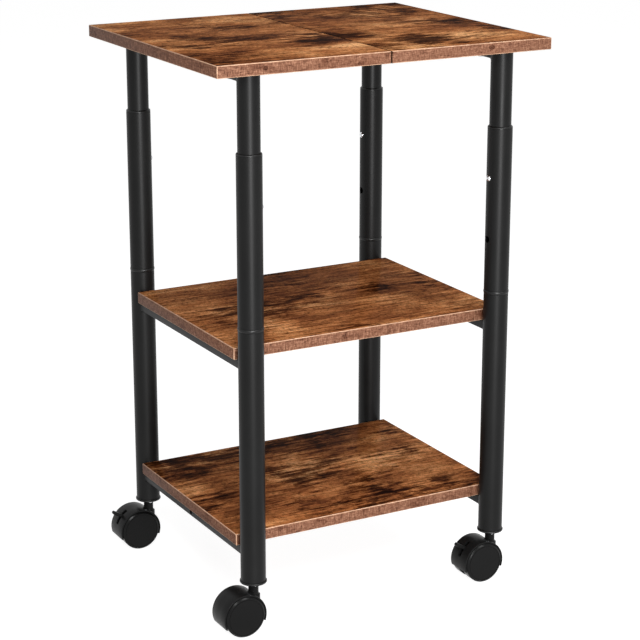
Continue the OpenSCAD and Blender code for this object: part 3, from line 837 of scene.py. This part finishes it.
SCREW_INSET, SHELF_BITE = 0.048, 0.010
PLATE_STEPS, PLATE_OFFSET = (0.0126, 0.0266), 0.110
bar_places = [(place.x, place.y - copysign(SCREW_INSET, place.y)) for place in leg_place.values()]
plate_places = [(side * step, end * PLATE_OFFSET)
                for side in (-1, 1) for step in PLATE_STEPS for end in (-1, 1)]
screw_sets = (("tabletop_screws", bar_places, ("tabletop_left",)),
              ("plate_screws", plate_places, ("tabletop_left",)),
              ("shelf_screws", bar_places, ("bottom_shelf", "middle_shelf")))
for node, places, boards_above in screw_sets:
    low, high, _, _ = sizes(node)
    underside = sizes(boards_above[0])[0].z
    point = underside + SHELF_BITE if node == "shelf_screws" else high.z
    for board in boards_above:
        seat = low.z + HEAD_HEIGHT + sizes(board)[0].z - underside
        master = model_screw(f"screw_{node}_{board}", point - low.z - HEAD_HEIGHT)
        for i, (x, y) in enumerate(places):
            screw = stands_for(copy_of(master, f"{master.name}_{i}", (x, y, seat)), node, zinc)
        bpy.data.objects.remove(master)
print("screws up to", screw.name, "open edges", open_edges(screw))

# %% [markdown]
# # Castors
# A castor swivels on a stem that stands ahead of its axle by the trail, so it follows where the
# table is pushed. It is modelled once at the origin of its own axle, and copied to the four legs
# afterwards, because a turned or spun piece is easiest to shape round zero. Its sizes are read off
# the front left castor's CAD parts, and only walls, roundings and angles are given here.

# %% Castor sizes
housing_low, housing_high, _, housing_size = sizes("castor_housing_front_left")
_, wheel_high, _, wheel_size = sizes("wheel_front_left_near")
_, _, axle_middle, axle_size = sizes("castor_axle_front_left")
stem_low, stem_high, _, stem_size = sizes("castor_stem_front_left")
trail = leg_place["front_left"].x - axle_middle.x
wheel_radius = wheel_size.x / 2
wheel_width = wheel_size.y
wheel_gap = 2 * (axle_middle.y - wheel_high.y)
hood_radius = axle_middle.x - housing_low.x
hood_width = housing_size.y
HOOD_WALL, HOOD_ROUND = 0.002, 0.0009
HOOD_FRONT, HOOD_BACK, BRAKED_HOOD_BACK = -20, 206, 198  # degrees round the axle
WEB, WEB_START = 0.009, 0.003
HUB_RADIUS = 0.008
NECK_RADIUS, NECK_FLARE, NECK_EDGE = 0.0065, 0.002, 0.0006
neck_top = housing_high.z - axle_middle.z
hood_inner = hood_radius - HOOD_WALL
shoulder_height = stem_low.z - axle_middle.z
print("castor trail", round(trail, 4), "hood", round(hood_radius, 4),
      "wheel", round(wheel_radius, 4), round(wheel_width, 4))

# %% [markdown]
# The castor's housing is one moulding. Its section through the hood is a T: the band over the
# wheels, and the web between them that carries the axle. So the T is drawn once, as a plane whose
# end is extruded to both sides, and spun round the axle, which gives hood and web in one closed
# body. Joining a band to a disc by a boolean would leave no such even corner between the two. A
# bevel rounds its edges as a mould does, and the flared neck is a turned piece joined on.


# %% Castor housing
WHEEL_ROOM = 0.020
NEAR = 1e-5


def cross_rod(name, place, radius, length, sides=48):
    """A round bar across the castor, along Y."""
    return rod(name, place, radius, length, (pi / 2, 0, 0), sides)


def sheet(name, start, end, width):
    """A flat strip that stands out from the axle, from one distance to another."""
    bpy.ops.mesh.primitive_plane_add(size=1, location=(0, 0, 0))
    strip = name_new(name)
    for vertex in strip.data.vertices:
        vertex.co = (start if vertex.co.x < 0 else end, copysign(width / 2, vertex.co.y), 0)
    return strip


def spin(section, start, end, steps):
    """Spins the flat section in edit mode round the axle, from one angle to another."""
    bpy.ops.mesh.select_all(action="SELECT")
    bpy.ops.mesh.spin(steps=steps, angle=radians(end - start), center=(0, 0, 0), axis=(0, 1, 0))
    close_edit()
    settle(section, turn=(0, radians(-start), 0))


def model_housing(name, back_angle):
    """The hood with its web, spun in one go, with the hub and the neck joined on."""
    hood = sheet(name, WEB_START, hood_inner, WEB)
    edit(hood, "EDGE")
    pick_edges(hood, lambda a, b: min(a.x, b.x) > hood_inner - NEAR)
    pull(HOOD_WALL, 0, 0)
    for side in (-1, 1):
        pick_edges(hood, lambda a, b: min(a.x, b.x) > hood_inner - NEAR
                   and min(a.y * side, b.y * side) > WEB / 2 - NEAR)
        pull(0, side * (hood_width - WEB) / 2, 0)
    spin(hood, HOOD_FRONT, back_angle, 60)
    soften(hood, HOOD_ROUND, 3, 60)

    hub = turned("hub", [(WEB_START, -WEB / 2), (HUB_RADIUS, -WEB / 2),
                         (HUB_RADIUS, WEB / 2), (WEB_START, WEB / 2)], hollow=True)
    settle(hub, turn=(pi / 2, 0, 0))
    flare = [(NECK_RADIUS + NECK_FLARE * (1 - sin(a)), shoulder_height + 2 * NECK_FLARE * (1 - cos(a)))
             for a in (radians(90 * i / 8) for i in range(1, 9))]
    neck = turned("neck", [
        (NECK_RADIUS + NECK_FLARE, 0), (NECK_RADIUS + NECK_FLARE, shoulder_height), *flare,
        (NECK_RADIUS, neck_top - NECK_EDGE), (NECK_RADIUS - NECK_EDGE, neck_top),
    ])
    settle(neck, (trail, 0, 0))
    for side in (-1, 1):
        room_middle = (0, side * (WEB + WHEEL_ROOM) / 2, 0)
        boolean(neck, cross_rod("wheel_room", room_middle, hood_inner, WHEEL_ROOM, 96))
    boolean(hood, hub, "UNION")
    boolean(hood, neck, "UNION")
    clean(hood)
    smooth(hood, 30)
    print(name, "open edges", open_edges(hood), "faces", len(hood.data.polygons))
    return hood


hood = model_housing("hood", HOOD_BACK)
braked_hood = model_housing("braked_hood", BRAKED_HOOD_BACK)

# %% [markdown]
# The brake lever turns on a pin in a slot through the hood, and its nose carries a short bar that
# jams both wheels. The slot is a small plane spun round the axle, so that its ends follow the
# hood's curve. The bar moves as the lever is pressed, so its room is a cylinder round the middle
# of that travel, wide enough for both ends of it.

# %% Brake slot
LEVER_ANGLE, ROOT_ANGLE = 150, 137
PIVOT_DEPTH = 0.0106
LEVER_WIDTH, LEVER_THICKNESS, LEVER_LENGTH = 0.006, 0.0045, 0.0145
PIN_RADIUS = 0.0015
BAR_OFFSET, BAR_RADIUS, BAR_LENGTH = 0.006, 0.0012, 0.014
HALF_PRESS = radians(7.5)
SLOT_PLAY, SLOT_INNER, SLOT_OUTER = 0.0004, 0.014, 0.032
SLOT_BELOW, SLOT_ABOVE = 20, 26
LEVER_PLAY = 0.0003  # the room round the parts that swing
SHY = 0.0001  # keeps the faces of two joined parts out of one plane
THROUGH = 0.001  # makes a cutter longer than what it cuts
along_lever = Vector((cos(radians(LEVER_ANGLE)), 0, sin(radians(LEVER_ANGLE))))
root = hood_radius * Vector((cos(radians(ROOT_ANGLE)), 0, sin(radians(ROOT_ANGLE))))
pivot = root - PIVOT_DEPTH * along_lever
bar_turn = atan2(-pivot.x, pivot.z)


def bar_place(press):
    """Where the jamming bar is when the lever is pressed down by an angle."""
    return pivot + BAR_OFFSET * Vector((cos(bar_turn + press), 0, sin(bar_turn + press)))


slot_width = LEVER_WIDTH + SLOT_PLAY
slot_end = cross_rod("slot_end", pivot, BAR_OFFSET + 2 * BAR_RADIUS + LEVER_PLAY, slot_width)
boolean(braked_hood, slot_end)
slot = sheet("slot", SLOT_INNER, SLOT_OUTER, slot_width)
edit(slot)
spin(slot, ROOT_ANGLE - SLOT_BELOW, ROOT_ANGLE + SLOT_ABOVE, 20)
print("slot open edges", open_edges(slot))
boolean(braked_hood, slot)
bar_room = BAR_RADIUS + BAR_OFFSET * sin(HALF_PRESS) + LEVER_PLAY
boolean(braked_hood, cross_rod("bar_room", bar_place(HALF_PRESS), bar_room, WEB + THROUGH))
boolean(braked_hood, cross_rod("pin", pivot, PIN_RADIUS, WEB - 2 * SHY), "UNION")
clean(braked_hood)
smooth(braked_hood, 30)
print("braked housing open edges", open_edges(braked_hood))

# %% [markdown]
# The lever is one moulding: a paddle, an eye round the pin, a nose and the bar. The paddle is a cube
# turned to its angle. Its far end is rounded over by a wide bevel, all edges are broken, and three
# low ribs across it give a toe some grip. The eye's bore is cut last, through all that meets there.

# %% Brake lever
LEVER_ROUND, TIP_ROUND = 0.0005, LEVER_THICKNESS * 0.45
RIB_STEPS = (0.35, 0.55, 0.75)
RIB_RADIUS, RIB_SUNK, RIB_INSET = 0.0005, 0.0002, 0.0012
EYE_WALL = 0.002
reach = PIVOT_DEPTH + LEVER_LENGTH
lever = cube("lever", (reach / 2, 0, 0), (reach, LEVER_WIDTH, LEVER_THICKNESS))
edit(lever, "EDGE")
pick_edges(lever, lambda a, b: min(a.x, b.x) > reach / 2 and abs(a.y - b.y) > LEVER_WIDTH / 2)
bpy.ops.mesh.bevel(offset=TIP_ROUND, segments=6, affect="EDGES")
close_edit()
soften(lever, LEVER_ROUND, 2, 50)
for step in RIB_STEPS:
    place = (PIVOT_DEPTH + LEVER_LENGTH * step, 0, LEVER_THICKNESS / 2 - RIB_SUNK)
    boolean(lever, cross_rod("rib", place, RIB_RADIUS, LEVER_WIDTH - RIB_INSET, 16), "UNION")
settle(lever, pivot, (0, radians(-LEVER_ANGLE), 0))
nose = cube("nose", (BAR_OFFSET / 2, 0, 0), (BAR_OFFSET, LEVER_WIDTH - 2 * SHY, 2 * BAR_RADIUS))
settle(nose, pivot, (0, -bar_turn, 0))
boolean(lever, cross_rod("eye", pivot, PIN_RADIUS + EYE_WALL, LEVER_WIDTH - SHY), "UNION")
boolean(lever, nose, "UNION")
boolean(lever, cross_rod("jamming_bar", bar_place(0), BAR_RADIUS, BAR_LENGTH), "UNION")
boolean(lever, cross_rod("eye_bore", pivot, PIN_RADIUS + PLAY, LEVER_WIDTH + 2 * THROUGH))
smooth(lever, 30)
print("lever open edges", open_edges(lever), "tip at", round(min(v.co.x for v in lever.data.vertices), 4))

# %% [markdown]
# A wheel is a moulded disc with a slightly rounded tread. Its rim has a narrow chamfer whose tilt
# mirrors a lamp, which draws the bright arc at the upper left, and a fine groove inside it draws
# the ring on the face. Behind the face it is open, with a hub on the axle. One turned outline gives
# all of that, with the outer face up, and the copies are then laid over to face their side.

# %% Wheels
TREAD_ROUND, EDGE_ROUND = 0.0016, 0.0010
CHAMFER_WIDTH, CHAMFER_DEPTH = 0.0016, 0.0012
RIM_WIDTH = 0.0012
GROOVE_WIDTH, GROOVE_DEPTH = 0.0007, 0.0004
RIM, FACE = 0.0035, 0.003
AXLE_BORE, BORE_SPARE = 0.00305, 0.00015
CENTRE = 0.0004  # the radius of the smallest ring, which is then filled
bore_depth = (axle_size.y - wheel_gap) / 2 + BORE_SPARE
tread_edge = arc(wheel_radius - EDGE_ROUND, 0, EDGE_ROUND, 0, 55)
edge_shift = wheel_width - CHAMFER_DEPTH - tread_edge[-1][1]
tread_edge = [(radius, height + edge_shift) for radius, height in tread_edge]
chamfer_top = tread_edge[-1][0] - CHAMFER_WIDTH
groove = chamfer_top - RIM_WIDTH - GROOVE_WIDTH / 2
groove_outline = [(groove + GROOVE_WIDTH * aside, wheel_width - GROOVE_DEPTH * deep)
                  for aside, deep in ((0.5, 0), (0.3, 1), (-0.3, 1), (-0.5, 0))]
rim_inner = wheel_radius - RIM
inside = wheel_width - FACE
wheel = turned("wheel", [
    (CENTRE, bore_depth), (AXLE_BORE, bore_depth), (AXLE_BORE, 0), (HUB_RADIUS - EASE, 0),
    (HUB_RADIUS, EASE), (HUB_RADIUS, inside), (rim_inner, inside), (rim_inner, EASE), (rim_inner + EASE, 0),
    *arc(wheel_radius - TREAD_ROUND, TREAD_ROUND, TREAD_ROUND, -90, 0, 6), *tread_edge,
    (chamfer_top, wheel_width), *groove_outline, (CENTRE, wheel_width),
], segments=96)
smooth(wheel, 28)
print("wheel open edges", open_edges(wheel), "width", round(wheel.dimensions.z, 4))

# %% [markdown]
# The stem is a steel pin that is pressed into the leg's plug. Its collar, between the plug and the
# housing's neck, takes the weight, and shows as a bright line under each leg. It is turned in
# place over the floor, since nothing about it needs the axle.

# %% Stem
COLLAR_EDGE, STEM_LEAD = 0.0002, 0.001
collar_radius = stem_size.x / 2
collar_low, collar_high = neck_top + axle_middle.z, plug_low.z
stem = turned("stem", [
    (STEM_RADIUS - EASE, stem_low.z), (STEM_RADIUS, stem_low.z + EASE), (STEM_RADIUS, collar_low),
    (collar_radius - COLLAR_EDGE, collar_low), (collar_radius, collar_low + EASE),
    (collar_radius, collar_high - EASE), (collar_radius - COLLAR_EDGE, collar_high),
    (STEM_RADIUS, collar_high), (STEM_RADIUS, stem_high.z - STEM_LEAD),
    (STEM_RADIUS - STEM_LEAD, stem_high.z),
], segments=48)
print("stem open edges", open_edges(stem))

# %% [markdown]
# Now each leg gets its castor: a housing, with the brake on the front right and back left ones, a
# stem, and two wheels that face away from each other. The axle is hidden, so its CAD part stays.

# %% Castors in place
for corner in CORNERS:
    axle_place = leg_place[corner] + Vector((-trail, 0, axle_middle.z))
    master = braked_hood if corner in BRAKED else hood
    stands_for(copy_of(master, f"housing_{corner}", axle_place), f"castor_housing_{corner}", moulded_nylon)
    stands_for(copy_of(stem, f"stem_{corner}", leg_place[corner]), f"castor_stem_{corner}", bright)
    if corner in BRAKED:
        stands_for(copy_of(lever, f"lever_{corner}", axle_place), f"brake_lever_{corner}", moulded_nylon)
    for end, way in (("near", -1), ("far", 1)):
        disc = copy_of(wheel, f"disc_{corner}_{end}")
        settle(disc, axle_place + Vector((0, way * wheel_gap / 2, 0)), (-way * pi / 2, 0, 0))
        stands_for(disc, f"wheel_{corner}_{end}", smooth_nylon)
for master in (hood, braked_hood, lever, wheel, stem):
    bpy.data.objects.remove(master)
print("castors in place", len(CORNERS))

# %% [markdown]
# The studio is a pale floor under a plain white sky. The camera and the glossy parts see both as
# white, while the light that falls on the table is a soft, even level from the sky and four soft
# boxes. The top lamp lights the boards from above, and the key lamp the front from the right. The
# edge lamp stands where the wheels' chamfers mirror it, and the low strip in front, which hardly
# reaches the boards' upper faces, draws the highlight down each leg.


# %% Studio
def white_for_the_eye(tree):
    """1 for camera, glossy and transmission rays, and 0 for the rays that light the table."""
    path = add(tree, "ShaderNodeLightPath")
    seen = path.outputs["Is Camera Ray"]
    for ray in ("Is Glossy Ray", "Is Transmission Ray"):
        seen = add(tree, "ShaderNodeMath", {"operation": "MAXIMUM"},
                   _0=seen, _1=path.outputs[ray]).outputs[0]
    return seen


SKY_LIGHT, FLOOR_GLOW = 0.26, 0.88
world = bpy.data.worlds.new("studio")
bpy.context.scene.world = world
world.use_nodes = True
sky = world.node_tree.nodes["Background"]
strength = add(world.node_tree, "ShaderNodeMapRange", Value=white_for_the_eye(world.node_tree),
               To_Min=SKY_LIGHT, To_Max=1.0)
sky.inputs["Color"].default_value = (1, 1, 1, 1)
world.node_tree.links.new(strength.outputs[0], sky.inputs["Strength"])

bpy.ops.mesh.primitive_plane_add(size=60, location=(0, 0, 0))
floor = name_new("floor")
pale, tree, shader = new_material("pale_floor", Roughness=0.9, Specular_IOR_Level=0.0)
shader.inputs["Base Color"].default_value = (0.4, 0.4, 0.4, 1)
shader.inputs["Emission Color"].default_value = (1, 1, 1, 1)
glow = add(tree, "ShaderNodeMath", {"operation": "MULTIPLY"}, _0=white_for_the_eye(tree), _1=FLOOR_GLOW)
tree.links.new(glow.outputs[0], shader.inputs["Emission Strength"])
floor.data.materials.append(pale)


LAMP_AIM = Vector((0, 0, 0.4))


def lamp(name, azimuth, elevation, distance, width, height, level):
    """A soft box round the table; level is how brightly it lights a surface that faces it."""
    way = towards(radians(azimuth), radians(elevation))
    bpy.ops.object.light_add(type="AREA", location=LAMP_AIM + way * distance)
    light = bpy.context.object
    light.name = name
    light.rotation_euler = (-way).to_track_quat("-Z", "Y").to_euler()
    light.data.shape = "RECTANGLE"
    light.data.size, light.data.size_y = width, height
    light.data.energy = level * pi ** 2 * distance ** 2


LAMPS = {  # azimuth, elevation, distance, width, height and level
    "top_lamp": (45, 74, 3.0, 1.2, 1.2, 0.21),
    "key_lamp": (22, 42, 3.2, 1.0, 1.0, 0.26),
    "edge_lamp": (-30, 34, 2.6, 0.7, 0.7, 0.38),
    "front_strip": (-16, 2, 2.3, 0.5, 0.7, 0.97),
}
for name, settings in LAMPS.items():
    lamp(name, *settings)
print("studio", world.name, floor.name, *LAMPS)
